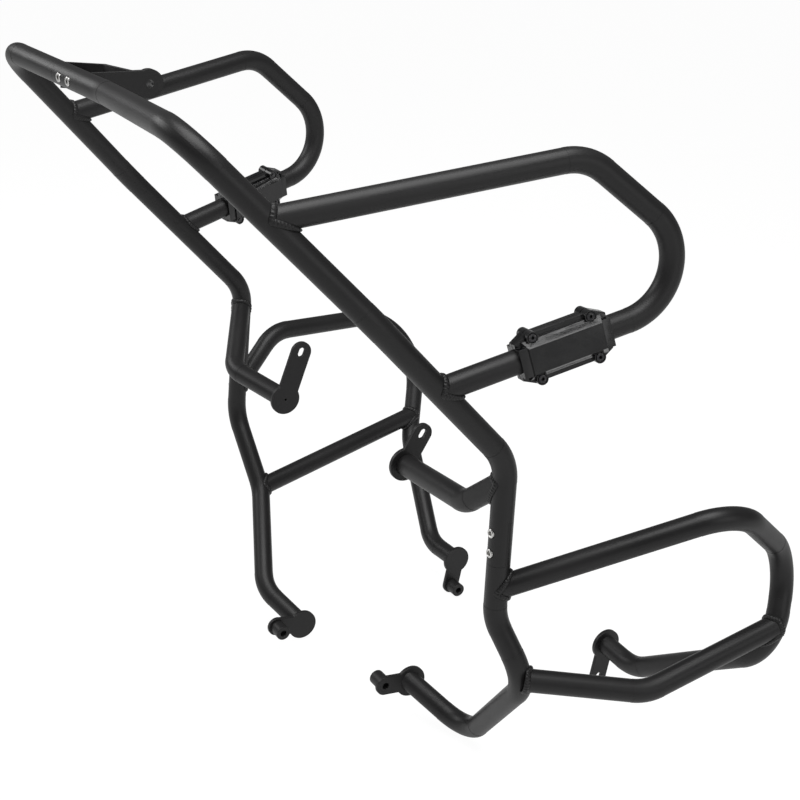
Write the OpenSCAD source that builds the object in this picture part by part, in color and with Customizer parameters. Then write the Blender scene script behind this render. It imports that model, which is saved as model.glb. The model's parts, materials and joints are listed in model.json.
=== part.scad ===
// Motorcycle crash bars, a set of four bolted tube frames that stands as it was put down.
// X points forward along the motorcycle, Y to its left and Z up, and the part stands on Z = 0.
// The points below are measured from the motorcycle's middle plane. The upper bars mirror each
// other about it, give or take a few millimetres, and the lower bars are made apart.

/* [Tube] */
// Outside diameter of every bar tube
tube_d = 25.4; // [22:0.1:28]
// Wall thickness of the tube
tube_wall = 2; // [1.5:0.1:3]
// Centre-line radius of a common bend
bend_r = 58; // [50:1:60]
// Centre-line radius of the two front corners of the upper bars
corner_r = 52; // [45:1:60]
// Centre-line radius of the wide bend at the back of each upper loop
loop_r = 61; // [54:1:66]
// Centre-line radius of the wide bend at the back of the lower right loop
low_loop_r = 90; // [70:1:96]
// Centre-line radius of the bend that the lower left bar stands on
foot_r = 50; // [44:1:56]
// Leg of the weld bead round a joint between two tubes
weld_leg = 4.5; // [2:0.5:6]

/* [Upper bars] */
// Height of the front corners above the floor
corner_z = 775; // [760:1:790]
// Half width between the front corners
corner_y = 263; // [255:1:275]
// Distance of the front corners ahead of the origin
corner_x = 367; // [355:1:380]
// How far the middle of the cross tube lies behind the corners
cross_sweep = 27; // [10:1:40]
// Half width between the two upright stretches
upright_y = 337; // [330:1:345]
// Distance of the upright stretches ahead of the origin
upright_x = 49; // [44:1:54]
// Height at which the main tube turns into the upright stretch
knee_z = 437; // [430:1:445]
// Length of the half-lap at each upright
lap_l = 54; // [48:1:60]
// Length of the half-lap in the cross tube
cross_lap_l = 64; // [56:1:70]
// How far the middle of the cross half-lap lies to the right of the middle
cross_lap_shift = 77; // [70:1:85]

/* [Mount plates] */
// Thickness of the mount plates
plate_t = 5; // [4:0.5:6]
// Diameter of the mount plates' large round end
plate_d = 40; // [34:1:42]
// Diameter of the mount plates' small round end
arm_d = 25; // [22:1:28]
// The same on the upper right plate, which is the longest
long_arm_d = 28; // [24:1:30]
// Diameter of the bolt holes and width of the slots
bolt_d = 8.5; // [6.5:0.1:10.5]
// Extra length of a slot beyond a round hole
slot_travel = 4; // [2:0.5:6]
// Diameter of the vent hole in a plate
vent_d = 3; // [2:0.5:4]
// Diameter of the spacers welded to the lower plates
spacer_d = 19; // [16:0.5:22]
// Length of the spacers
spacer_l = 19; // [10:0.5:22]

/* [Lap screws] */
// Diameter of the lap screws
lap_screw_d = 6; // [5:0.5:7]
// Diameter of the lap screws' heads
lap_head_d = 10; // [9:0.5:11]
// Distance between the two screws of a lap
lap_screw_pitch = 23; // [20:0.5:26]

/* [Impact blocks] */
// Length of an impact block along its tube
block_l = 100; // [94:1:110]
// Distance between the block screws along the tube
block_pitch_l = 64; // [60:1:70]
// Distance between the block screws across the tube
block_pitch_h = 43.5; // [42:0.5:50]
// Diameter of the four ears that hold the screws
ear_d = 12.5; // [12:0.5:16]
// Height of the ears above the split
ear_t = 13; // [12.5:0.5:15]
// Height of the raised panel above the split
panel_t = 18; // [17.5:0.5:22]
// Length of the raised panel
panel_l = 80; // [70:1:86]
// Width of the raised panel
panel_w = 27; // [24:1:32]
// Gap at the split between the two half shells
block_gap = 1; // [0.4:0.1:2]
// Diameter of the block screws
block_screw_d = 5; // [4:0.5:6]

/* [Top bracket] */
// Thickness of the bracket's strips
bracket_t = 4; // [3:0.5:5]
// Height of the strips
strip_h = 28; // [24:1:31]
// Diameter of the rounded lugs
lug_d = 31; // [27:1:36]

/* [Hidden] */

$fn = 64;
paint = [0.13, 0.13, 0.135];
gloss = [0.08, 0.08, 0.085];
steel = [0.72, 0.73, 0.74];
oxide = [0.2, 0.2, 0.21];

bore_d = tube_d - 2 * tube_wall;
bend_swell = 0.4;
straight_overlap = 1;
seat = 0.2;
side_inset = 0.05;
far = 400;

// Points where the straight stretches of each centre line would meet
upper_corner = [corner_x, corner_y, corner_z];
cross_middle = [corner_x - cross_sweep, 0, corner_z - 10];
upper_hip = [203, 324, 600];
upper_knee = [upright_x, upright_y, knee_z];
upper_loop_root = [294, 290, 698];
upper_loop_front = [-13, 345, 745];
upper_loop_back = [-182, 387, 613];
upper_loop_end = [131, 330, 523];
right_knee = [39, -328, 427];
right_loop_root = [286, -293, 690];
right_loop_front = [6, -361, 739];
right_loop_back = [-167, -390, 599];
left_stub_root = [upright_x, upright_y, 413];
left_stub_bend = [58, 283, 368];
left_stub_end = [43, 134, 347];
right_stub_root = [41, -329, 404];
right_stub_bend = [99, -225, 351];
right_stub_end = [69, -133, 337];

lap_z = 345;
lower_left_knee = [upright_x, upright_y, 254];
lower_left_shin = [24, 370, 183];
lower_left_foot = [-16, 215, 10.5];
lower_left_toe = [22, 136, 49];
left_loop_root = [upright_x, upright_y, 289];
left_loop_front = [-160, 463, 391];
left_loop_top = [-289, 419, 290];
left_loop_corner = [-246, 458, 195];
left_rear_bend = [-238, 249, 59];
left_rear_end = [-235, 197, 65];
left_bottom_root = [25, 368, 187];
left_bottom_bend = [-94, 428, 172];
left_bottom_end = [-258, 447, 222];

lower_right_knee = [47, -334, 238];
lower_right_shin = [42, -260, 148];
lower_right_foot = [87, -151, 52];
lower_right_toe = [63, -85, 25];
right_low_root = [46, -333, 278];
right_low_front = [-25, -361, 344];
right_low_corner = [-308, -409, 329];
right_low_knee = [-237, -312, 155];
right_rear_bend = [-193, -166, 53];
right_rear_end = [-198, -108, 51];
right_cross_root = [42, -261, 149];
right_cross_end = [-250, -329, 187];

// Arms of the mount plates, forward and up from the middle of the large end
left_stub_arm = [-21, 35];
right_stub_arm = [-22, 62];
left_front_arm = [36, 4];
right_front_arm = [38, 7];
left_rear_arm = [8, -46];
right_rear_arm = [7, -38];

// The part's origin lies on the floor under the middle of its box
box_middle = [44.3, 31.4, 0.5];

module finished(tone) {
    translate(-box_middle)
        color(tone)
            children();
}

module painted() {
    finished(paint)
        children();
}

module moulded() {
    finished(gloss)
        children();
}

module plated() {
    finished(steel)
        children();
}

module blackened() {
    finished(oxide)
        children();
}

// Vector helpers
function unit(v) = v / norm(v);
function mirrored(p) = [p[0], -p[1], p[2]];
function turn(a, b, c) = acos(unit(b - a) * unit(c - b));
function tangent(r, angle) = r * tan(angle / 2);

// Places a child whose X, Y and Z axes are given in the part's own frame
module placed(origin, x, y, z) {
    multmatrix([[x[0], y[0], z[0], origin[0]],
                [x[1], y[1], z[1], origin[1]],
                [x[2], y[2], z[2], origin[2]],
                [0, 0, 0, 1]])
        children();
}

// A direction at right angles to a given one
function across(v) = unit(cross(v, abs(unit(v)[2]) < 0.9 ? [0, 0, 1] : [0, 1, 0]));

// A round bar from one point to another
module bar(a, b, d) {
    z = unit(b - a);
    x = across(z);
    placed(a, x, cross(z, x), z)
        cylinder(h = norm(b - a), d = d);
}

// One bend at b on the way from a to c
module bend(a, b, c, r, d) {
    in_dir = unit(b - a);
    out_dir = unit(c - b);
    angle = turn(a, b, c);
    start = b - in_dir * tangent(r, angle);
    z = unit(cross(in_dir, out_dir));
    x = cross(in_dir, z);
    placed(start - x * r, x, in_dir, z)
        rotate_extrude(angle = angle)
            translate([r, 0])
                circle(d = d + bend_swell);
}

// A round bar along points, bent at each inner point with its own radius.
// Each straight stretch runs a little way into the bends, which are a hair thicker.
module run(points, radii, d) {
    last = len(points) - 1;
    for (i = [0:last - 1]) {
        a = points[i];
        b = points[i + 1];
        dir = unit(b - a);
        cut_a = i == 0 ? 0
            : tangent(radii[i - 1], turn(points[i - 1], a, b)) - straight_overlap;
        cut_b = i == last - 1 ? 0
            : tangent(radii[i], turn(a, b, points[i + 2])) - straight_overlap;
        bar(a + dir * cut_a, b - dir * cut_b, d);
    }
    for (i = [1:1:last - 1])
        bend(points[i - 1], points[i], points[i + 1], radii[i - 1], d);
}

// The bore of a run, a little longer than the run at both ends
module bore(points, radii) {
    last = len(points) - 1;
    first_dir = unit(points[1] - points[0]);
    last_dir = unit(points[last] - points[last - 1]);
    longer = [for (i = [0:last]) i == 0 ? points[0] - first_dir
        : i == last ? points[last] + last_dir : points[i]];
    run(longer, radii, bore_d);
}

// Centre lines of the bars
cross_dir = unit(cross_middle - mirrored(upper_corner));
cross_lap_middle = mirrored(upper_corner) + cross_dir
    * ((corner_y - cross_lap_shift) / abs(cross_dir[1]));
cross_lap_left = cross_lap_middle + cross_dir * cross_lap_l / 2;
cross_lap_right = cross_lap_middle - cross_dir * cross_lap_l / 2;
left_lap_top = [upright_x, upright_y, lap_z + lap_l / 2];
left_lap_foot = [upright_x, upright_y, lap_z - lap_l / 2];
right_lap_dir = unit(right_knee - lower_right_knee);
right_lap_middle = lower_right_knee + right_lap_dir * (lap_z - lower_right_knee[2]);
right_lap_top = right_lap_middle + right_lap_dir * lap_l / 2;
right_lap_foot = right_lap_middle - right_lap_dir * lap_l / 2;

upper_left_line = [cross_lap_left, cross_middle, upper_corner, upper_hip, upper_knee, left_lap_top];
upper_left_radii = [90, corner_r, 150, bend_r];
upper_right_line = [cross_lap_right, mirrored(upper_corner), mirrored(upper_hip), right_knee,
    right_lap_top];
upper_right_radii = [corner_r, 150, bend_r];
upper_left_loop = [upper_loop_root, upper_loop_front, upper_loop_back, upper_loop_end];
upper_right_loop = [right_loop_root, right_loop_front, right_loop_back,
    mirrored(upper_loop_end)];
upper_loop_radii = [bend_r, loop_r];
left_stub = [left_stub_root, left_stub_bend, left_stub_end];
right_stub = [right_stub_root, right_stub_bend, right_stub_end];
lower_left_line = [left_lap_foot, lower_left_knee, lower_left_shin, lower_left_foot, lower_left_toe];
lower_left_radii = [bend_r, bend_r, foot_r];
lower_left_loop = [left_loop_root, left_loop_front, left_loop_top, left_loop_corner,
    left_rear_bend, left_rear_end];
lower_left_loop_radii = [bend_r, bend_r, bend_r, bend_r];
lower_left_bottom = [left_bottom_root, left_bottom_bend, left_bottom_end];
lower_right_line = [right_lap_foot, lower_right_knee, lower_right_shin,
    lower_right_foot, lower_right_toe];
lower_right_radii = [bend_r, bend_r, bend_r];
lower_right_loop = [right_low_root, right_low_front, right_low_corner, right_low_knee,
    right_rear_bend, right_rear_end];
lower_right_loop_radii = [bend_r, low_loop_r, bend_r, bend_r];
lower_right_cross = [right_cross_root, right_cross_end];

// A centre line carried on past its last point, so that a plate's face can trim the tube
function carried_on(points) = [for (i = [0:len(points) - 1]) i < len(points) - 1 ? points[i]
    : points[i] + unit(points[i] - points[i - 1]) * tube_d];

// Everything on one side of a plate's face, to trim a tube flat on it
module beyond(y, side) {
    translate([-far, side > 0 ? y - 2 * far : y, -far])
        cube([2 * far, 2 * far, 4 * far]);
}

// A tube along a centre line, hollow
module tube(points, radii) {
    difference() {
        run(points, radii, tube_d);
        bore(points, radii);
    }
}

// The keyhole outline of a mount plate: a large round end, a straight arm, a small round end.
// Straight sides lie a hair inside the round ends that they run into.
module plate_outline(arm, end_d) {
    length = norm(arm);
    rotate(atan2(arm[1], arm[0])) {
        circle(d = plate_d);
        translate([0, -end_d / 2 + side_inset])
            square([length, end_d - 2 * side_inset]);
        translate([length, 0])
            circle(d = end_d);
    }
}

// A hole, or a slot along the arm
module arm_hole(arm, travel) {
    dir = unit(arm) * travel / 2;
    translate(arm - dir)
        circle(d = bolt_d);
    translate(arm + dir)
        circle(d = bolt_d);
    if (travel > 0)
        translate(arm)
            rotate(atan2(arm[1], arm[0]))
                square([travel, bolt_d - 2 * side_inset], center = true);
}

// A mount plate whose tube side is at y, on the left (side 1) or right (side -1) bar
module mount_plate(middle, arm, side, travel, vent, end_d = arm_d) {
    translate([middle[0], middle[1] - (side > 0 ? plate_t : 0), middle[2]])
        rotate([90, 0, 0])
            mirror([0, 0, 1])
                difference() {
                    linear_extrude(plate_t)
                        difference() {
                            plate_outline(arm, end_d);
                            arm_hole(arm, travel);
                        }
                    if (vent)
                        translate([0, 0, -1])
                            cylinder(h = plate_t + 2, d = vent_d);
                }
}

// A spacer tube on the inner side of a plate's arm
module spacer(middle, arm, side) {
    start = middle[1] - side * plate_t;
    translate([middle[0] + arm[0], start, middle[2] + arm[1]])
        rotate([side > 0 ? 90 : -90, 0, 0])
            difference() {
                cylinder(h = spacer_l, d = spacer_d);
                translate([0, 0, -1])
                    cylinder(h = spacer_l + 2, d = bolt_d);
            }
}

// The bead of weld that fills the corner where a branch tube meets its carrier
module weld(carrier, carrier_radii, root, toward) {
    thick = tube_d + 2 * weld_leg;
    dir = unit(toward - root);
    difference() {
        intersection() {
            run(carrier, carrier_radii, thick);
            bar(root + dir * weld_leg, root + dir * 3 * tube_d, thick);
        }
        run(carrier, carrier_radii, tube_d);
        bar(root, root + dir * 4 * tube_d, tube_d);
    }
}

// Upper bars
module upper_left_main_tube() {
    painted()
        tube(upper_left_line, upper_left_radii);
}

module upper_right_main_tube() {
    painted()
        tube(upper_right_line, upper_right_radii);
}

module upper_left_loop_tube() {
    painted()
        difference() {
            tube(upper_left_loop, upper_loop_radii);
            run(upper_left_line, upper_left_radii, tube_d);
        }
}

module upper_right_loop_tube() {
    painted()
        difference() {
            tube(upper_right_loop, upper_loop_radii);
            run(upper_right_line, upper_right_radii, tube_d);
        }
}

module upper_left_stub_tube() {
    painted()
        difference() {
            tube(carried_on(left_stub), [bend_r - 20]);
            run(upper_left_line, upper_left_radii, tube_d);
            beyond(left_stub_end[1] + seat, 1);
        }
}

module upper_right_stub_tube() {
    painted()
        difference() {
            tube(carried_on(right_stub), [bend_r - 20]);
            run(upper_right_line, upper_right_radii, tube_d);
            beyond(right_stub_end[1] - seat, -1);
        }
}

module upper_left_mount_plate() {
    painted()
        mount_plate(left_stub_end, left_stub_arm, 1, slot_travel, false);
}

module upper_right_mount_plate() {
    painted()
        mount_plate(right_stub_end, right_stub_arm, -1, slot_travel, true, long_arm_d);
}

// Lower left bar
module lower_left_front_tube() {
    painted()
        difference() {
            tube(carried_on(lower_left_line), lower_left_radii);
            beyond(lower_left_toe[1] + seat, 1);
        }
}

module lower_left_loop_tube() {
    painted()
        difference() {
            tube(carried_on(lower_left_loop), lower_left_loop_radii);
            run(lower_left_line, lower_left_radii, tube_d);
            beyond(left_rear_end[1] + seat, 1);
        }
}

module lower_left_bottom_tube() {
    painted()
        difference() {
            tube(lower_left_bottom, [bend_r]);
            run(lower_left_line, lower_left_radii, tube_d);
            run(lower_left_loop, lower_left_loop_radii, tube_d);
        }
}

module lower_left_front_plate() {
    painted()
        mount_plate(lower_left_toe, left_front_arm, 1, 0, false);
}

module lower_left_front_spacer() {
    painted()
        spacer(lower_left_toe, left_front_arm, 1);
}

module lower_left_rear_plate() {
    painted()
        mount_plate(left_rear_end, left_rear_arm, 1, slot_travel, false);
}

// Lower right bar
module lower_right_front_tube() {
    painted()
        difference() {
            tube(carried_on(lower_right_line), lower_right_radii);
            beyond(lower_right_toe[1] - seat, -1);
        }
}

module lower_right_loop_tube() {
    painted()
        difference() {
            tube(carried_on(lower_right_loop), lower_right_loop_radii);
            run(lower_right_line, lower_right_radii, tube_d);
            beyond(right_rear_end[1] - seat, -1);
        }
}

module lower_right_cross_tube() {
    painted()
        difference() {
            tube(lower_right_cross, []);
            run(lower_right_line, lower_right_radii, tube_d);
            run(lower_right_loop, lower_right_loop_radii, tube_d);
        }
}

module lower_right_front_plate() {
    painted()
        mount_plate(lower_right_toe, right_front_arm, -1, 0, false);
}

module lower_right_front_spacer() {
    painted()
        spacer(lower_right_toe, right_front_arm, -1);
}

module lower_right_rear_plate() {
    painted()
        mount_plate(right_rear_end, right_rear_arm, -1, 0, false);
}

module lower_right_rear_spacer() {
    painted()
        spacer(right_rear_end, right_rear_arm, -1);
}

// Half-lap joints: each tongue has a plug inside its tube and a half-round body
plug_l = 18;
plug_fit = 0.2;
lap_fit = 0.2;
screw_fit = 0.4;
lap_head_l = 6;
lap_screw_l = tube_d - 4;
socket_d = 4;
counterbore_d = lap_head_d + 1;
counterbore_l = 5;
tongue_end_gap = 0.3;
tongue_base_l = 2;

// A tongue along +Z for a lap of a given length: a full round base and then a half-round body,
// its flat face towards +X when front is false, that stops short of the other tongue's base
module tongue(length, front) {
    side = front ? 1 : -1;
    translate([0, 0, -plug_l])
        cylinder(h = plug_l + tongue_base_l, d = bore_d - plug_fit);
    difference() {
        cylinder(h = length - tongue_base_l - tongue_end_gap, d = tube_d);
        translate([front ? -tube_d + lap_fit / 2 : -lap_fit / 2, -tube_d, tongue_base_l])
            cube([tube_d, 2 * tube_d, length]);
        for (along = [-1, 1])
            translate([-side * tube_d, 0, length / 2 + along * lap_screw_pitch / 2])
                rotate([0, side * 90, 0]) {
                    cylinder(h = 2 * tube_d, d = lap_screw_d + screw_fit);
                    if (front)
                        translate([0, 0, 1.5 * tube_d - counterbore_l])
                            cylinder(h = tube_d, d = counterbore_d);
                }
    }
}

// The frame of a lap: origin at the end of a tube, Z along the joint, X to the front
module lap_frame(start, dir) {
    front = unit([1, 0, 0] - dir * dir[0]);
    placed(start, front, cross(dir, front), dir)
        children();
}

module cross_lap_left_tongue() {
    painted()
        lap_frame(cross_lap_left, -cross_dir)
            tongue(cross_lap_l, true);
}

module cross_lap_right_tongue() {
    painted()
        lap_frame(cross_lap_right, cross_dir)
            tongue(cross_lap_l, false);
}

module left_lap_upper_tongue() {
    painted()
        lap_frame(left_lap_top, [0, 0, -1])
            tongue(lap_l, true);
}

module left_lap_lower_tongue() {
    painted()
        lap_frame(left_lap_foot, [0, 0, 1])
            tongue(lap_l, false);
}

module right_lap_upper_tongue() {
    painted()
        lap_frame(right_lap_top, -right_lap_dir)
            tongue(lap_l, true);
}

module right_lap_lower_tongue() {
    painted()
        lap_frame(right_lap_foot, right_lap_dir)
            tongue(lap_l, false);
}

// A socket screw along -X from its head, which rests in the counterbore at x = 0
module lap_screw() {
    rotate([0, -90, 0])
        difference() {
            union() {
                translate([0, 0, -lap_head_l])
                    cylinder(h = lap_head_l, d = lap_head_d);
                cylinder(h = lap_screw_l - counterbore_l, d = lap_screw_d);
            }
            translate([0, 0, -lap_head_l - 1])
                cylinder(h = 4, d = socket_d, $fn = 6);
        }
}

module lap_screw_pair(start, dir, length) {
    lap_frame(start, dir)
        for (along = [-1, 1])
            translate([tube_d / 2 - counterbore_l + 0.05, 0, length / 2 + along * lap_screw_pitch / 2])
                lap_screw();
}

module lap_screws() {
    plated() {
        lap_screw_pair(cross_lap_left, -cross_dir, cross_lap_l);
        lap_screw_pair(left_lap_top, [0, 0, -1], lap_l);
        lap_screw_pair(right_lap_top, -right_lap_dir, lap_l);
    }
}

// Top bracket: a strip from each half of the cross tube; their rounded lugs share one bolt
near_strip_y = -40.5;
far_strip_y = -116;
far_strip_bend = [cross_middle[0] - 32, -95];
lug_seat_x = cross_middle[0] - 45;
lug_x = cross_middle[0] - 63;
lug_gap = 0.3;
bracket_z = cross_middle[2];
cross_right = [mirrored(upper_corner), cross_middle];

// The strips end at the cross tube
module against_cross_tube() {
    difference() {
        children();
        bar(cross_right[0], cross_right[1], tube_d);
    }
}

// The outline of a strip bent on edge along points, seen from above
module strip_plan(points) {
    for (i = [0:len(points) - 2]) {
        step = points[i + 1] - points[i];
        translate(points[i])
            rotate(atan2(step[1], step[0]))
                translate([0, -bracket_t / 2])
                    square([norm(step), bracket_t]);
        if (i > 0)
            translate(points[i])
                circle(d = bracket_t);
    }
}

// A strip with a rounded lug whose near face is at y
module lug_strip(points, y) {
    difference() {
        union() {
            translate([0, 0, bracket_z + lug_d / 2 - strip_h - 1.5])
                linear_extrude(strip_h)
                    strip_plan(points);
            translate([lug_x, y, bracket_z])
                rotate([90, 0, 0])
                    cylinder(h = bracket_t, d = lug_d);
        }
        translate([lug_x, y + 1, bracket_z])
            rotate([90, 0, 0])
                cylinder(h = bracket_t + 2, d = bolt_d);
    }
}

module bracket_near_strip() {
    middle_y = near_strip_y - bracket_t / 2;
    painted()
        against_cross_tube()
            lug_strip([[cross_middle[0], middle_y], [lug_x, middle_y]], near_strip_y);
}

module bracket_far_strip() {
    face_y = near_strip_y - bracket_t - lug_gap;
    middle_y = face_y - bracket_t / 2;
    painted()
        against_cross_tube()
            lug_strip([[cross_middle[0] + 8, far_strip_y - 8], far_strip_bend,
                [lug_seat_x, middle_y], [lug_x, middle_y]], face_y);
}

// Impact blocks: two half shells clamped round the back stretch of each upper loop
block_fit = 0.3;
left_block_share = 0.405;
right_block_share = 0.39;
collar_t = 15.5;
collar_h = 30;
flange_end_h = 38;
shoulder_w = 40;
shoulder_t = 10;
panel_slope = 7;
rib_t = 2.5;
rib_inset = 3;
recess_d = 10;
recess_floor = 8;
block_head_d = 8.5;
block_head_l = 5;
block_nut_d = 8.8;
block_nut_l = 4;

// Origin and axes of a block on its tube, with Z to the outside; side is 1 on the left bar
module block_frame(end, back, side) {
    share = side > 0 ? left_block_share : right_block_share;
    x = unit(back - end);
    out = [0.2, side, 0.15];
    z = unit(out - x * (out * x));
    placed(end + (back - end) * share, x, cross(z, x), z)
        children();
}

module at_block_screws() {
    for (along = [-1, 1], up = [-1, 1])
        translate([along * block_pitch_l / 2, up * block_pitch_h / 2, 0])
            children();
}

// The flange with its bevelled ends, drawn between the ears
module flange_plan() {
    l = block_l / 2;
    ear_x = block_pitch_l / 2;
    ear_y = block_pitch_h / 2;
    lean = ear_d * 0.35;
    half = [[-l, 0], [-l, flange_end_h / 2], [-ear_x - lean, ear_y + lean], [-ear_x, ear_y + 3.5],
        [ear_x, ear_y + 3.5], [ear_x + lean, ear_y + lean], [l, flange_end_h / 2], [l, 0]];
    polygon(half);
    mirror([0, 1])
        polygon(half);
}

// Cross section of the middle: the raised panel, the slopes and the shoulders
module panel_section() {
    polygon([[-shoulder_w / 2, block_gap / 2], [shoulder_w / 2, block_gap / 2],
        [shoulder_w / 2, shoulder_t], [panel_w / 2, panel_t], [-panel_w / 2, panel_t],
        [-shoulder_w / 2, shoulder_t]]);
}

module panel_side() {
    l = panel_l / 2;
    polygon([[-l - panel_slope, block_gap / 2], [l + panel_slope, block_gap / 2],
        [l, panel_t], [-l, panel_t]]);
}

module block_half(outer) {
    difference() {
        union() {
            translate([0, 0, block_gap / 2])
                linear_extrude(shoulder_t - rib_inset - block_gap / 2)
                    flange_plan();
            for (up = [-1, 1])
                translate([-block_pitch_l / 2, up * (block_pitch_h / 2 - rib_inset) - rib_t / 2, 1])
                    cube([block_pitch_l, rib_t, shoulder_t - 1]);
            at_block_screws()
                translate([0, 0, block_gap / 2])
                    cylinder(h = ear_t - block_gap / 2, d = ear_d);
            translate([-block_l / 2, -collar_h / 2, block_gap / 2])
                cube([block_l, collar_h, collar_t - block_gap / 2]);
            intersection() {
                rotate([90, 0, 90])
                    translate([0, 0, -block_l / 2])
                        linear_extrude(block_l)
                            panel_section();
                rotate([90, 0, 0])
                    translate([0, 0, -shoulder_w])
                        linear_extrude(2 * shoulder_w)
                            panel_side();
            }
        }
        rotate([0, 90, 0])
            translate([0, 0, -block_l])
                cylinder(h = 2 * block_l, d = tube_d + 2 * block_fit);
        at_block_screws() {
            cylinder(h = 2 * ear_t, d = block_screw_d + screw_fit);
            translate([0, 0, recess_floor])
                cylinder(h = 2 * ear_t, d = recess_d, $fn = outer ? 64 : 6);
        }
    }
}

module left_block_outer() {
    moulded()
        block_frame(upper_loop_end, upper_loop_back, 1)
            block_half(true);
}

module left_block_inner() {
    moulded()
        block_frame(upper_loop_end, upper_loop_back, 1)
            rotate([180, 0, 0])
                block_half(false);
}

module right_block_outer() {
    moulded()
        block_frame(mirrored(upper_loop_end), right_loop_back, -1)
            block_half(true);
}

module right_block_inner() {
    moulded()
        block_frame(mirrored(upper_loop_end), right_loop_back, -1)
            rotate([180, 0, 0])
                block_half(false);
}

module block_screw_set() {
    at_block_screws()
        difference() {
            union() {
                translate([0, 0, -recess_floor - block_nut_l - 1])
                    cylinder(h = 2 * recess_floor + block_nut_l + 2, d = block_screw_d);
                translate([0, 0, recess_floor + 0.05])
                    cylinder(h = block_head_l, d = block_head_d);
            }
            translate([0, 0, recess_floor + 2])
                cylinder(h = block_head_l, d = 4, $fn = 6);
        }
}

module block_nut_set() {
    at_block_screws()
        translate([0, 0, -recess_floor - block_nut_l - 0.05])
            difference() {
                cylinder(h = block_nut_l, d = block_nut_d, $fn = 6);
                translate([0, 0, -1])
                    cylinder(h = block_nut_l + 2, d = block_screw_d + 0.05);
            }
}

module block_screws() {
    blackened() {
        block_frame(upper_loop_end, upper_loop_back, 1)
            block_screw_set();
        block_frame(mirrored(upper_loop_end), right_loop_back, -1)
            block_screw_set();
    }
}

module block_nuts() {
    blackened() {
        block_frame(upper_loop_end, upper_loop_back, 1)
            block_nut_set();
        block_frame(mirrored(upper_loop_end), right_loop_back, -1)
            block_nut_set();
    }
}

// Weld beads, one group for each welded frame
module upper_left_welds() {
    upper_stretch = [upper_corner, upper_hip];
    lower_stretch = [upper_hip, upper_knee];
    knee = [upper_hip, upper_knee, left_lap_top];
    painted() {
        weld(upper_stretch, [], upper_loop_root, upper_loop_front);
        weld(lower_stretch, [], upper_loop_end, upper_loop_back);
        weld(knee, [bend_r], left_stub_root, left_stub_bend);
    }
}

module upper_right_welds() {
    upper_stretch = [mirrored(upper_corner), mirrored(upper_hip)];
    lower_stretch = [mirrored(upper_hip), right_knee];
    knee = [mirrored(upper_hip), right_knee, right_lap_top];
    painted() {
        weld(upper_stretch, [], right_loop_root, right_loop_front);
        weld(lower_stretch, [], mirrored(upper_loop_end), right_loop_back);
        weld(knee, [bend_r], right_stub_root, right_stub_bend);
    }
}

module lower_left_welds() {
    upright = [left_lap_foot, lower_left_knee];
    shin = [lower_left_knee, lower_left_shin, lower_left_foot];
    loop_side = [left_loop_top, left_loop_corner, left_rear_bend];
    painted() {
        weld(upright, [], left_loop_root, left_loop_front);
        weld(shin, [bend_r], left_bottom_root, left_bottom_bend);
        weld(loop_side, [bend_r], left_bottom_end, left_bottom_bend);
    }
}

module lower_right_welds() {
    upright = [right_lap_foot, lower_right_knee];
    shin = [lower_right_knee, lower_right_shin, lower_right_foot];
    loop_side = [right_low_corner, right_low_knee, right_rear_bend];
    painted() {
        weld(upright, [], right_low_root, right_low_front);
        weld(shin, [bend_r], right_cross_root, right_cross_end);
        weld(loop_side, [bend_r], right_cross_end, right_cross_root);
    }
}

upper_left_main_tube();
upper_left_loop_tube();
upper_left_stub_tube();
upper_left_mount_plate();
upper_right_main_tube();
upper_right_loop_tube();
upper_right_stub_tube();
upper_right_mount_plate();
lower_left_front_tube();
lower_left_loop_tube();
lower_left_bottom_tube();
lower_left_front_plate();
lower_left_front_spacer();
lower_left_rear_plate();
lower_right_front_tube();
lower_right_loop_tube();
lower_right_cross_tube();
lower_right_front_plate();
lower_right_front_spacer();
lower_right_rear_plate();
lower_right_rear_spacer();
cross_lap_left_tongue();
cross_lap_right_tongue();
left_lap_upper_tongue();
left_lap_lower_tongue();
right_lap_upper_tongue();
right_lap_lower_tongue();
lap_screws();
bracket_near_strip();
bracket_far_strip();
left_block_outer();
left_block_inner();
right_block_outer();
right_block_inner();
block_screws();
block_nuts();
upper_left_welds();
upper_right_welds();
lower_left_welds();
lower_right_welds();
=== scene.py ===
import json

import bmesh
import bpy
import numpy as np
from mathutils import Matrix, Vector


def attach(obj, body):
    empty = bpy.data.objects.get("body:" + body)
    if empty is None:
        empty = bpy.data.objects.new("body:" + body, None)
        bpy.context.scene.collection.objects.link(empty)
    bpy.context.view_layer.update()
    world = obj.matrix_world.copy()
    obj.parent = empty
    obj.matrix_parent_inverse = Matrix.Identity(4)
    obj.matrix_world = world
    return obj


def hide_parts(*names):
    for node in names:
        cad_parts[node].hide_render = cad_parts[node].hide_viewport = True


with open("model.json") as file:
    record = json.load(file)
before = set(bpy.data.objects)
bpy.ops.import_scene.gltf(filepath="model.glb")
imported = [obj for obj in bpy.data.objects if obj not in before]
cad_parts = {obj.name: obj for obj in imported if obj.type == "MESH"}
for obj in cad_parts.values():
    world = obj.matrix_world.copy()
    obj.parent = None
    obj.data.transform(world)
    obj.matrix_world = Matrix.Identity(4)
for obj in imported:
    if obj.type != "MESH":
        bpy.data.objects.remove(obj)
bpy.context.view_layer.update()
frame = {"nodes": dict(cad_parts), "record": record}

# Bar tubes
# The bars are one-inch steel tube, bent cold, coped and welded, then powder coated satin black.
# The baked coat keeps a fine orange peel, and is a touch duller in broad patches.
coat_black = (0.0095, 0.0093, 0.0097, 1)
coat_dull = (0.016, 0.0156, 0.016, 1)
peel_per_metre = 520
grain_per_metre = 2400
patches_per_metre = 9
peel_depth = 0.00005


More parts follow.
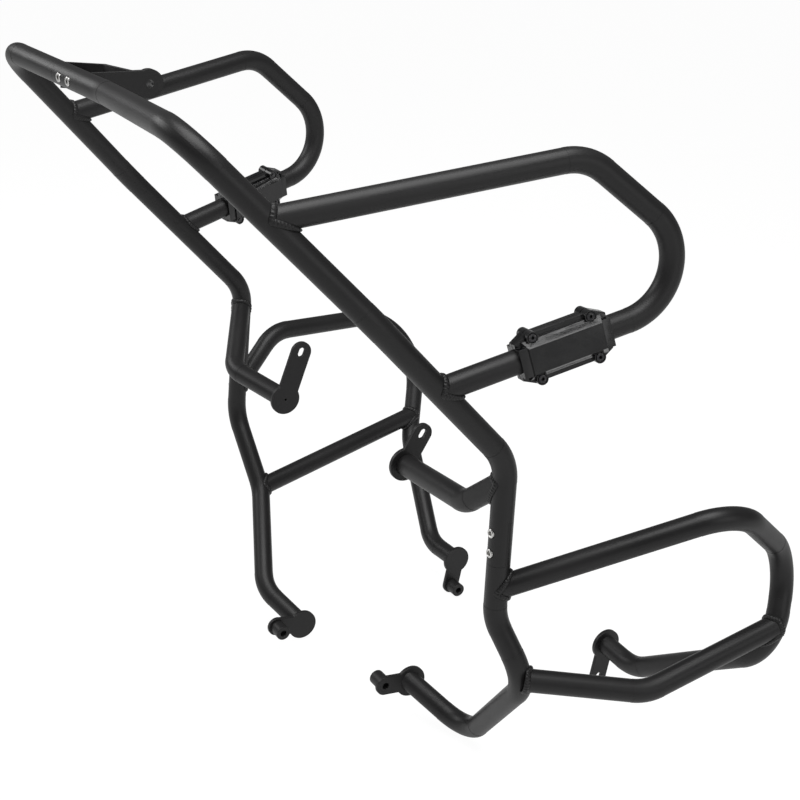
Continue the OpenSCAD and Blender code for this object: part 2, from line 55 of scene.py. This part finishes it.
class Wire:
    """An output socket of a material. Sums and products of wires and numbers add Math nodes."""

    def __init__(self, tree, socket):
        self.tree = tree
        self.socket = socket

    def node(self, kind, settings, sockets, output=0):
        """Adds a node: its settings first, then its sockets, each a value or a wire."""
        added = self.tree.nodes.new(kind)
        for name, value in settings.items():
            setattr(added, name, value)
        for name, value in sockets.items():
            if isinstance(value, Wire):
                self.tree.links.new(value.socket, added.inputs[name])
            else:
                added.inputs[name].default_value = value
        return Wire(self.tree, added.outputs[output])

    def maths(self, operation, first, second):
        return self.node("ShaderNodeMath", {"operation": operation}, {0: first, 1: second})

    def __add__(self, other):
        return self.maths("ADD", self, other)

    def __mul__(self, other):
        return self.maths("MULTIPLY", self, other)

    __radd__ = __add__
    __rmul__ = __mul__

    def noise(self, per_metre, detail):
        """Cloudy values from 0 to 1 with about per_metre clouds to the metre."""
        return self.node("ShaderNodeTexNoise", {}, {"Vector": self, "Scale": per_metre, "Detail": detail})

    def rising(self, start, end):
        """0 below start, 1 above end and a straight ramp between them."""
        return self.node("ShaderNodeMapRange", {}, {"Value": self, "From Min": start, "From Max": end})

    def between(self, low, high):
        """The colour low where this wire is 0, high where it is 1."""
        return self.node("ShaderNodeMix", {"data_type": "RGBA"}, {0: self, 6: low, 7: high}, 2)


def new_finish(name):
    """A fresh material: its shader node, and a wire that carries the object's own coordinates."""
    material = bpy.data.materials.new(name)
    material.use_nodes = True
    tree = material.node_tree
    place = tree.nodes.new("ShaderNodeTexCoord")
    return material, tree.nodes["Principled BSDF"], Wire(tree, place.outputs["Object"])


def connect(shader, **wires):
    """Links each wire to the shader's socket of that name, written with _ for a space."""
    for name, wire in wires.items():
        wire.tree.links.new(wire.socket, shader.inputs[name.replace("_", " ")])


def relief(height, depth):
    """A normal that follows height, which is depth metres high where it is 1."""
    return height.node("ShaderNodeBump", {}, {"Height": height, "Distance": depth})


powder_coat, shader, place = new_finish("satin black powder coat")
patches = place.noise(patches_per_metre, 3).rising(0.35, 0.7)
peel = place.noise(peel_per_metre, 1)
grain = place.noise(grain_per_metre, 2)
shader.inputs["Specular IOR Level"].default_value = 0.34
connect(
    shader,
    Base_Color=(0.7 * patches + 0.3 * grain).between(coat_black, coat_dull),
    Roughness=0.36 + 0.08 * patches + 0.06 * grain,
    Normal=relief(0.8 * peel + 0.2 * grain, peel_depth),
)


def nodes_in(slot):
    """The names of the CAD nodes that the record gives that material slot."""
    return [part["node"] for part in frame["record"]["subparts"] if part["material_slot"] == slot]


def wear(names, material):
    """Gives the CAD nodes of those names that material."""
    for name in names:
        for place_for_material in frame["nodes"][name].material_slots:
            place_for_material.material = material


wear(nodes_in("paint"), powder_coat)

# Weld beads
# Each coped tube end is welded all round to the tube that carries it. The bead is laid in short
# overlapping steps, which leave a row of scallops, and lies under the same powder coat.
millimetre = 0.001
row_middle = np.array((44.3, 31.4, 0.5))
tube_r = 12.7
bead_leg = 3.6
bead_crown = 0.9
scallop_pitch = 3.4
scallop_h = 0.8
steps_round = 240
steps_across = 9
steps_on_stretch = 160
steps_on_bend = 60
run_out = 30
seam_reach = 60
seam_steps = 361
hidden_leg = 0.6
hidden_depth = 1.5
hidden_side_depth = 1.2

bend_r = 58
left_corner = (367, 263, 775)
left_hip = (203, 324, 600)
left_knee = (49, 337, 437)
left_lap_middle = (49, 337, 345)
left_lap_end = (49, 337, 372)
left_lap_start = (49, 337, 318)
lower_left_knee = (49, 337, 254)
lower_left_shin = (24, 370, 183)
lower_left_foot = (-16, 215, 10.5)
left_loop_top = (-289, 419, 290)
left_loop_corner = (-246, 458, 195)
left_rear_bend = (-238, 249, 59)
left_bottom_bend = (-94, 428, 172)
right_corner = (367, -263, 775)
right_hip = (203, -324, 600)
right_knee = (39, -328, 427)
lower_right_knee = (47, -334, 238)
lower_right_shin = (42, -260, 148)
lower_right_foot = (87, -151, 52)
right_loop_corner = (-308, -409, 329)
right_loop_knee = (-237, -312, 155)
right_rear_bend = (-193, -166, 53)
right_cross_root = (42, -261, 149)
right_cross_end = (-250, -329, 187)

# each bead: the points of the carrier, then where the branch starts and where it goes
joints = {
    "upper_left_welds": [
        ((left_corner, left_hip), (294, 290, 698), (-13, 345, 745)),
        ((left_hip, left_knee), (131, 330, 523), (-182, 387, 613)),
        ((left_hip, left_knee, left_lap_end), (49, 337, 413), (58, 283, 368)),
    ],
    "upper_right_welds": [
        ((right_corner, right_hip), (286, -293, 690), (6, -361, 739)),
        ((right_hip, right_knee), (131, -330, 523), (-167, -390, 599)),
        ((right_hip, right_knee, lower_right_knee), (41, -329, 404), (99, -225, 351)),
    ],
    "lower_left_welds": [
        ((left_lap_start, lower_left_knee), (49, 337, 289), (-160, 463, 391)),
        ((lower_left_knee, lower_left_shin, lower_left_foot), (25, 368, 187), left_bottom_bend),
        ((left_loop_top, left_loop_corner, left_rear_bend), (-258, 447, 222), left_bottom_bend),
    ],
    "lower_right_welds": [
        ((right_knee, lower_right_knee), (46, -333, 278), (-25, -361, 344)),
        ((lower_right_knee, lower_right_shin, lower_right_foot), right_cross_root, right_cross_end),
        ((right_loop_corner, right_loop_knee, right_rear_bend), right_cross_end, right_cross_root),
    ],
}


def unit(v):
    """v / |v|, along the last axis."""
    return v / np.linalg.norm(v, axis=-1, keepdims=True)


def stretch(a, b):
    """Points from a to b: a + (b - a) s, for s from 0 to 1."""
    return a + (b - a) * np.linspace(0, 1, steps_on_stretch)[:, None]


def centre_line(points):
    """The points of a carrier's middle: straight stretches, and a round bend at the inner point.

    The bend starts r tan(turn / 2) before the corner, and its centre lies on the corner's
    bisector, at a distance r / cos(turn / 2).
    """
    points = [np.array(p, float) for p in points]
    if len(points) == 2:
        ahead = unit(points[1] - points[0])
        return stretch(points[0] - ahead * run_out, points[1] + ahead * run_out)
    before, corner, after = points
    come, go = unit(corner - before), unit(after - corner)
    half_turn = np.arccos(come @ go) / 2
    centre = corner + unit(go - come) * bend_r / np.cos(half_turn)
    start = corner - come * bend_r * np.tan(half_turn)
    angle = np.linspace(0, 2 * half_turn, steps_on_bend)[:, None]
    arc = centre + (start - centre) * np.cos(angle) + come * bend_r * np.sin(angle)
    return np.vstack([stretch(before, arc[0]), arc, stretch(arc[-1], after)])


def bead(carrier, root, toward):
    """The closed skin of one bead, as a grid that meets itself both ways.

    The seam is where the branch's wall, root + t d + r n1, leaves the carrier, r from its centre
    line. Across the seam, w runs from the foot on the branch, at a leg's distance, to the foot
    on the carrier: seam + leg ((1 - w) a + w b) + crown 4 w (1 - w) n, with scallops
    h |cos(pi s / pitch)| along the seam's length s. The skin closes inside the two walls.
    """
    line = centre_line(carrier)
    root, toward = np.array(root, float), np.array(toward, float)
    d = unit(toward - root)
    u = unit(np.cross(d, (0.3, 0.2, 1.0)))
    v = np.cross(d, u)
    turn = np.linspace(0, 2 * np.pi, steps_round, endpoint=False)[:, None]
    n1 = u * np.cos(turn) + v * np.sin(turn)
    t = np.linspace(0, seam_reach, seam_steps)
    wall = root + tube_r * n1[:, None] + t[:, None] * d
    gap = np.array([np.linalg.norm(wall[i][:, None] - line, axis=-1).min(1) for i in range(steps_round)])
    leaves = t[gap.shape[1] - 1 - np.argmax((gap < tube_r)[:, ::-1], axis=1)]
    leaves = np.where((gap < tube_r).any(1), leaves, 0.0)
    leaves = (np.roll(leaves, 1) + 2 * leaves + np.roll(leaves, -1)) / 4
    seam = root + tube_r * n1 + leaves[:, None] * d
    nearest = line[np.linalg.norm(seam[:, None] - line, axis=-1).argmin(1)]
    n2 = unit(seam - nearest)
    along = unit(np.roll(seam, -1, 0) - np.roll(seam, 1, 0))
    a = unit(np.cross(along, n1))
    b = -unit(np.cross(along, n2))
    if (a @ d).mean() < 0:
        a, b = -a, -b
    n = unit(n1 + n2)
    piece = np.linalg.norm(np.roll(seam, -1, 0) - seam, axis=1)
    s = np.cumsum(piece) * np.round(piece.sum() / scallop_pitch) * scallop_pitch / piece.sum()
    scallop = scallop_h * np.abs(np.cos(np.pi * s / scallop_pitch))[:, None, None]
    w = np.linspace(0, 1, steps_across)[None, :, None]
    a, b, n, seam = a[:, None], b[:, None], n[:, None], seam[:, None]
    crown = 4 * w * (1 - w) * (bead_crown + scallop)
    top = seam + bead_leg * ((1 - w) * a + w * b) + crown * n
    sides = [seam + hidden_leg * bead_leg * foot - hidden_side_depth * n for foot in (b, a)]
    under = [sides[0], seam - hidden_depth * n, sides[1]]
    return np.concatenate([top, *under], 1)


def ring_faces(rows, columns):
    """Quads of a grid that meets itself both ways, as corner numbers."""
    i, j = np.meshgrid(np.arange(rows), np.arange(columns), indexing="ij")
    k, m = (i + 1) % rows, (j + 1) % columns
    return np.stack([i * columns + j, k * columns + j, k * columns + m, i * columns + m], -1).reshape(-1, 4)


def outward(points, quads):
    """The quads, turned round if the volume that they enclose comes out negative."""
    a, b, c, d = (points[quads[:, i]] for i in range(4))
    volume = np.einsum("ij,ij->", a, np.cross(b, c)) + np.einsum("ij,ij->", a, np.cross(c, d))
    return quads if volume > 0 else quads[:, ::-1]


def skin_mesh(name, grids, faces):
    """One smooth mesh of closed skins, each a grid in millimetres whose quads faces() numbers."""
    points, quads = [], []
    first = 0
    for grid in grids:
        corners = (grid.reshape(-1, 3) - row_middle) * millimetre
        quads.append(outward(corners - corners.mean(0), faces(*grid.shape[:2])) + first)
        points.append(corners)
        first += len(corners)
    mesh = bpy.data.meshes.new(name)
    mesh.from_pydata(np.vstack(points), [], np.vstack(quads))
    mesh.polygons.foreach_set("use_smooth", np.ones(len(mesh.polygons), bool))
    return mesh


for node, welds in joints.items():
    mesh = skin_mesh(node + "_beads", [bead(*weld) for weld in welds], ring_faces)
    mesh.materials.append(powder_coat)
    beads = bpy.data.objects.new(node + "_beads", mesh)
    bpy.context.collection.objects.link(beads)
    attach(beads, "root")
    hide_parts(node)

# Mount plates, spacers and the top bracket
# Plates and strips are cut from plate steel, and the spacers from bar. Grinding before the
# powder coat and the coat itself round every edge by about half a millimetre.
plate_edge = 0.0006
sharp_turn = np.radians(28)
flat_turn = np.radians(0.5)
cad_same_point = 2e-6
plate_nodes = [
    "upper_left_mount_plate", "upper_right_mount_plate", "lower_left_front_plate",
    "lower_left_rear_plate", "lower_right_front_plate", "lower_right_rear_plate",
    "lower_left_front_spacer", "lower_right_front_spacer", "lower_right_rear_spacer",
    "bracket_near_strip", "bracket_far_strip",
]


def softened(node, edge, material):
    """A copy of a CAD node whose sharp edges are rounded by edge metres, and which replaces it."""
    mesh = frame["nodes"][node].data.copy()
    work = bmesh.new()
    work.from_mesh(mesh)
    bmesh.ops.remove_doubles(work, verts=work.verts, dist=cad_same_point)
    bmesh.ops.dissolve_limit(work, angle_limit=flat_turn, verts=work.verts, edges=work.edges)
    work.to_mesh(mesh)
    work.free()
    mesh.polygons.foreach_set("use_smooth", np.ones(len(mesh.polygons), bool))
    mesh.set_sharp_from_angle(angle=sharp_turn)
    mesh.materials.clear()
    mesh.materials.append(material)
    piece = bpy.data.objects.new(node + "_finished", mesh)
    bpy.context.collection.objects.link(piece)
    bevel = piece.modifiers.new("rounded edges", "BEVEL")
    bevel.width = edge
    bevel.segments = 2
    bevel.limit_method = "ANGLE"
    bevel.angle_limit = sharp_turn
    bevel.harden_normals = True
    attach(piece, "root")
    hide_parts(node)


for node in plate_nodes:
    softened(node, plate_edge, powder_coat)

# Lap screws
# Socket screws of plain stainless steel hold each half-lap. Their heads sit in counterbores,
# turned bright on the rim and a little scuffed by the key.
stainless = (0.66, 0.655, 0.64, 1)
stainless_scuffed = (0.5, 0.495, 0.485, 1)
scuffs_per_metre = 900
scuff_depth = 0.00003

screw_steel, shader, place = new_finish("stainless steel screws")
scuffs = place.noise(scuffs_per_metre, 4).rising(0.4, 0.7)
shader.inputs["Metallic"].default_value = 1
connect(
    shader,
    Base_Color=scuffs.between(stainless, stainless_scuffed),
    Roughness=0.22 + 0.16 * scuffs,
    Normal=relief(scuffs, scuff_depth),
)

screw_spread = 11.5
shank_r = 3
shank_end = -8.65
head_base = 7.75
head_top = 13.75
head_r = 5
head_chamfer = 0.5
socket_flat_r = 2.5
socket_depth = 3.2
screw_steps_round = 72
shank_chamfer = 0.4
head_foot_chamfer = 0.1
socket_mouth = 0.25
socket_mouth_depth = 0.2
drill_point = 0.8
same_point = 1e-7
cross_middle = (340, 0, 765)
cross_lap_from_corner = 187.1
right_lap_height = 107


def socket_screw(middle, front, side):
    """The closed skin of one screw round the line middle + front x, as a grid of turns by stations.

    Its radius at each station x is constant, but for the socket, whose wall is a hexagon with
    flats r0 from the middle: r = r0 / cos(phi), where phi is the turn from the nearest flat's
    middle, from -30 to 30 degrees.
    """
    turn = np.linspace(0, 2 * np.pi, screw_steps_round, endpoint=False)
    phi = (turn + np.pi / 6) % (np.pi / 3) - np.pi / 6
    flat = socket_flat_r / np.cos(phi)
    even = np.ones_like(turn)
    bottom = head_top - socket_depth
    stations = [
        (shank_end, 0 * even), (shank_end, 0.9 * shank_r * even),
        (shank_end + shank_chamfer, shank_r * even), (head_base, shank_r * even),
        (head_base, (head_r - head_foot_chamfer) * even), (head_base + head_foot_chamfer, head_r * even),
        (head_top - head_chamfer, head_r * even), (head_top, (head_r - head_chamfer) * even),
        (head_top, flat + socket_mouth), (head_top - socket_mouth_depth, flat),
        (bottom, flat), (bottom - drill_point, 0 * even),
    ]
    x = np.array([station[0] for station in stations])[None, :, None]
    r = np.stack([station[1] for station in stations], 1)[..., None]
    up = np.cross(front, side)
    ring = side * np.cos(turn)[:, None] + up * np.sin(turn)[:, None]
    return middle + front * x + ring[:, None] * r


def revolved_faces(rows, columns):
    """Quads of a grid that meets itself by rows only, as corner numbers."""
    i, j = np.meshgrid(np.arange(rows), np.arange(columns - 1), indexing="ij")
    k = (i + 1) % rows
    near, far = i * columns + j, k * columns + j
    return np.stack([near, far, far + 1, near + 1], -1).reshape(-1, 4)


cross_dir = unit(np.subtract(cross_middle, right_corner))
right_dir = unit(np.subtract(right_knee, lower_right_knee))
laps = [
    (np.array(right_corner) + cross_dir * cross_lap_from_corner, cross_dir),
    (np.array(left_lap_middle, float), np.array((0.0, 0.0, 1.0))),
    (np.array(lower_right_knee) + right_dir * right_lap_height, right_dir),
]
grids = []
for middle, along in laps:
    front = unit(np.array((1.0, 0.0, 0.0)) - along * along[0])
    for way in (-1, 1):
        grids.append(socket_screw(middle + along * way * screw_spread, front, along))
mesh = skin_mesh("lap_screw_set", grids, revolved_faces)
work = bmesh.new()
work.from_mesh(mesh)
bmesh.ops.remove_doubles(work, verts=work.verts, dist=same_point)
work.to_mesh(mesh)
work.free()
mesh.set_sharp_from_angle(angle=sharp_turn)
mesh.materials.append(screw_steel)
lap_screws = bpy.data.objects.new("lap_screw_set", mesh)
bpy.context.collection.objects.link(lap_screws)
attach(lap_screws, "root")
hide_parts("lap_screws")

# Impact blocks
# Two half shells of glossy black moulded plastic clamp round each upper loop. The mould leaves
# rounded edges and a faint sink over the ribs, and handling leaves a few dull smears.
shell_black = (0.004, 0.004, 0.0045, 1)
shell_smeared = (0.01, 0.01, 0.0105, 1)
shell_edge = 0.0009
smears_per_metre = 45
sinks_per_metre = 60
pores_per_metre = 1400
sink_depth = 0.0006

moulded_plastic, shader, place = new_finish("glossy black moulded plastic")
smears = place.noise(smears_per_metre, 4).rising(0.45, 0.75)
sinks = place.noise(sinks_per_metre, 1)
pores = place.noise(pores_per_metre, 1)
connect(
    shader,
    Base_Color=smears.between(shell_black, shell_smeared),
    Roughness=0.12 + 0.14 * smears + 0.04 * pores,
    Normal=relief(0.9 * sinks + 0.1 * pores, sink_depth),
)
for node in nodes_in("shell"):
    softened(node, shell_edge, moulded_plastic)

# Block screws and nuts
# Socket screws with a black oxide finish pull the two shells together, and hexagon nuts of the
# same finish sit in pockets of the inner shell.
oxide_black = (0.05, 0.05, 0.053, 1)
oxide_rubbed = (0.16, 0.155, 0.15, 1)
rubs_per_metre = 700
rub_depth = 0.00002

black_oxide, shader, place = new_finish("black oxide screws")
rubbed = place.noise(rubs_per_metre, 3).rising(0.5, 0.75)
shader.inputs["Metallic"].default_value = 1
connect(
    shader,
    Base_Color=rubbed.between(oxide_black, oxide_rubbed),
    Roughness=0.14 + 0.12 * rubbed,
    Normal=relief(rubbed, rub_depth),
)
wear(["block_screws", "block_nuts"], black_oxide)

# Floor, light and camera
# A white studio sweep under one broad overhead softbox and two side panels. To the camera the
# floor and the air behind it are white, and only a part of the shadows shows on the floor.
floor_half = 30.0
floor_white = (0.7, 0.7, 0.7, 1)
shadow_share = 0.16
glow_strength = 1.14
mirrored_share = 0.5
fill_strength = 0.16
lens_mm = 63
sensor_mm = 36
camera_place = (0.7738, 1.3588, 1.0125)

floor_mesh = bpy.data.meshes.new("floor")
floor_corners = [(x * floor_half, y * floor_half, 0) for x, y in ((-1, -1), (1, -1), (1, 1), (-1, 1))]
floor_mesh.from_pydata(floor_corners, [], [(0, 1, 2, 3)])
floor = bpy.data.objects.new("floor", floor_mesh)
bpy.context.collection.objects.link(floor)
sweep, shader, place = new_finish("white studio sweep")
shader.inputs["Base Color"].default_value = floor_white
shader.inputs["Roughness"].default_value = 0.8
shader.inputs["Specular IOR Level"].default_value = 0.1
rays = place.tree.nodes.new("ShaderNodeLightPath")
seen = Wire(place.tree, rays.outputs["Is Camera Ray"])
mirrored = Wire(place.tree, rays.outputs["Is Glossy Ray"])
glow = place.node("ShaderNodeEmission", {}, {"Color": (1, 1, 1, 1), "Strength": glow_strength})
lit = Wire(place.tree, shader.outputs["BSDF"])
white_share = seen * (1 - shadow_share) + mirrored * mirrored_share
mixed = place.node("ShaderNodeMixShader", {}, {0: white_share, 1: lit, 2: glow})
place.tree.links.new(mixed.socket, place.tree.nodes["Material Output"].inputs["Surface"])
floor_mesh.materials.append(sweep)

world = bpy.data.worlds.new("studio")
bpy.context.scene.world = world
world.use_nodes = True
air = world.node_tree
fill = air.nodes["Background"]
fill.inputs["Color"].default_value = (1, 1, 1, 1)
fill.inputs["Strength"].default_value = fill_strength
seen = Wire(air, air.nodes.new("ShaderNodeLightPath").outputs["Is Camera Ray"])
backdrop = seen.node("ShaderNodeBackground", {}, {"Color": (1, 1, 1, 1), "Strength": glow_strength})
filled = Wire(air, fill.outputs["Background"])
sky = seen.node("ShaderNodeMixShader", {}, {0: seen, 1: filled, 2: backdrop})
air.links.new(sky.socket, air.nodes["World Output"].inputs["Surface"])


def softbox(name, position, target, width, height, power):
    """A rectangular lamp at position that faces target, sizes in metres and power in watts."""
    lamp = bpy.data.lights.new(name, "AREA")
    lamp.shape = "RECTANGLE"
    lamp.size, lamp.size_y, lamp.energy = width, height, power
    holder = bpy.data.objects.new(name, lamp)
    holder.location = position
    holder.rotation_euler = (Vector(target) - Vector(position)).to_track_quat("-Z", "Y").to_euler()
    bpy.context.collection.objects.link(holder)


softbox("overhead", (0.2, 0.5, 2.5), (0, 0, 0.4), 1.8, 1.8, 52)
softbox("left side", (-0.6, 2.6, 1.3), (0, 0, 0.4), 1.6, 1.4, 9)
softbox("front side", (1.5, -1.7, 1.8), (0.1, 0.2, 0.6), 1.3, 1.1, 20)

lens = bpy.data.cameras.new("photograph")
lens.lens = lens_mm
lens.sensor_width = sensor_mm
camera = bpy.data.objects.new("photograph", lens)
right = Vector((-0.8624, 0.5047, 0.0414)).normalized()
look = Vector((-0.4827, -0.7944, -0.3688)).normalized()
up = right.cross(look).normalized()
camera.matrix_world = Matrix((right, up, -look)).transposed().to_4x4()
camera.location = camera_place
bpy.context.collection.objects.link(camera)
bpy.context.scene.camera = camera
bpy.context.scene.view_settings.view_transform = "Standard"
